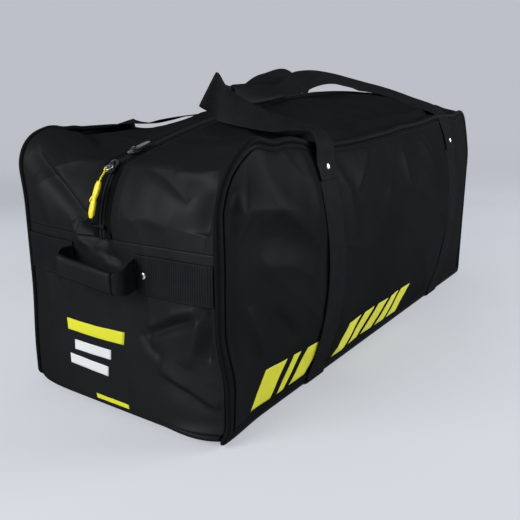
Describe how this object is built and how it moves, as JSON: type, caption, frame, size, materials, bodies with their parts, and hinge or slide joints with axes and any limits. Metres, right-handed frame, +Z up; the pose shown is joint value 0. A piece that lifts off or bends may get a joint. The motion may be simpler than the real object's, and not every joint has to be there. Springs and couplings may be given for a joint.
{
  "type": "hockey equipment bag",
  "caption": "Long soft duffel with an arched zip top, belted carry handles, end grip handles, piped seams and zip pulls.",
  "frame": {"origin": "on the floor, under the middle of the bag", "axes": "+X along the bag towards the far end, +Z up, -Y to the front with the sleeved carry handle"},
  "size_m": [1.0278, 0.4298, 0.4556],
  "materials": {
    "coated_fabric": "coated woven polyester, soft gloss",
    "dark_fabric": "coated woven polyester, matt",
    "webbing": "ribbed polypropylene webbing",
    "grip_sleeve": "padded sleeve of coated fabric",
    "piping": "covered piping",
    "zip_tape": "woven zip tape",
    "zip_coil": "nylon zip coil",
    "black_metal": "black lacquer",
    "silver_metal": "nickel plate",
    "yellow_rubber": "moulded, satin"
  },
  "bodies": {
    "bag_body": {"front_panel": "coated_fabric", "front_piping": "piping", "back_panel": "coated_fabric", "back_piping": "piping", "bottom_panel": "dark_fabric", "near_end_panel": "coated_fabric", "near_end_band_front": "webbing", "near_end_top_front": "coated_fabric", "near_zip_tape_front": "zip_tape", "near_zip_coil_front": "zip_coil", "near_end_band_back": "webbing", "near_end_top_back": "coated_fabric", "near_zip_tape_back": "zip_tape", "near_zip_coil_back": "zip_coil", "near_zip_stop": "black_metal", "near_zip_end_tab": "dark_fabric", "far_end_panel": "coated_fabric", "far_end_band_front": "webbing", "far_end_top_front": "coated_fabric", "far_zip_tape_front": "zip_tape", "far_zip_coil_front": "zip_coil", "far_end_band_back": "webbing", "far_end_top_back": "coated_fabric", "far_zip_tape_back": "zip_tape", "far_zip_coil_back": "zip_coil", "far_zip_stop": "black_metal", "far_zip_end_tab": "dark_fabric", "near_belt": "webbing", "near_front_strap_rivet": "silver_metal", "near_back_strap_rivet": "silver_metal", "far_belt": "webbing", "far_front_strap_rivet": "silver_metal", "far_back_strap_rivet": "silver_metal", "near_end_front_rivet": "silver_metal", "near_end_back_rivet": "silver_metal", "far_end_front_rivet": "silver_metal", "far_end_back_rivet": "silver_metal"},
    "front_flap": {"front_flap": "coated_fabric", "front_flap_zip_tape": "zip_tape", "front_flap_zip_coil": "zip_coil"},
    "back_flap": {"back_flap": "coated_fabric", "back_flap_zip_tape": "zip_tape", "back_flap_zip_coil": "zip_coil"},
    "front_handle": {"front_handle_webbing": "webbing", "front_handle_grip": "grip_sleeve"},
    "back_handle": {"back_handle_webbing": "webbing"},
    "ridge_slider": {"ridge_slider": "black_metal"},
    "ridge_tab": {"ridge_slider_tab": "silver_metal"},
    "end_slider": {"end_slider": "black_metal"},
    "end_pull": {"end_pull_ring": "silver_metal", "end_pull_cord": "yellow_rubber", "end_pull_grip": "yellow_rubber"},
    "near_end_handle": {"near_end_handle_webbing": "webbing", "near_end_handle_grip": "grip_sleeve"},
    "far_end_handle": {"far_end_handle_webbing": "webbing", "far_end_handle_grip": "grip_sleeve"}
  },
  "joints": [
    {"name": "front_flap_open", "type": "hinge", "parent": "bag_body", "child": "front_flap", "pos_m": [0, -0.175, 0.352], "axis": [1, 0, 0], "range_deg": [0, 150]},
    {"name": "back_flap_open", "type": "hinge", "parent": "bag_body", "child": "back_flap", "pos_m": [0, 0.175, 0.352], "axis": [-1, 0, 0], "range_deg": [0, 150]},
    {"name": "front_handle_swing", "type": "hinge", "parent": "bag_body", "child": "front_handle", "pos_m": [0, -0.18777, 0.332], "axis": [1, 0, 0], "range_deg": [0, 150]},
    {"name": "back_handle_swing", "type": "hinge", "parent": "bag_body", "child": "back_handle", "pos_m": [0, 0.18777, 0.332], "axis": [-1, 0, 0], "range_deg": [0, 150]},
    {"name": "ridge_slider_travel", "type": "hinge", "parent": "bag_body", "child": "ridge_slider", "pos_m": [0.1445, 0, -1.6745], "axis": [0, 1, 0], "range_deg": [0, 21.3]},
    {"name": "ridge_tab_lift", "type": "hinge", "parent": "ridge_slider", "child": "ridge_tab", "pos_m": [-0.39816, 0, 0.34631], "axis": [0, -1, 0], "range_deg": [0, 170]},
    {"name": "end_slider_travel", "type": "hinge", "parent": "bag_body", "child": "end_slider", "pos_m": [-0.3305, 0, 0.2465], "axis": [0, -1, 0], "range_deg": [0, 28]},
    {"name": "end_pull_swing", "type": "hinge", "parent": "end_slider", "child": "end_pull", "pos_m": [-0.4384, 0, 0.32994], "axis": [0, 1, 0], "range_deg": [0, 100]},
    {"name": "near_end_handle_swing", "type": "hinge", "parent": "bag_body", "child": "near_end_handle", "pos_m": [-0.46294, 0, 0.203], "axis": [0, 1, 0], "range_deg": [-45, 30]},
    {"name": "far_end_handle_swing", "type": "hinge", "parent": "bag_body", "child": "far_end_handle", "pos_m": [0.46294, 0, 0.203], "axis": [0, -1, 0], "range_deg": [-45, 30]}
  ],
  "couplings": [
    {"joint": "front_handle_swing", "follows": "front_flap_open", "ratio": 1},
    {"joint": "back_handle_swing", "follows": "back_flap_open", "ratio": 1}
  ]
}
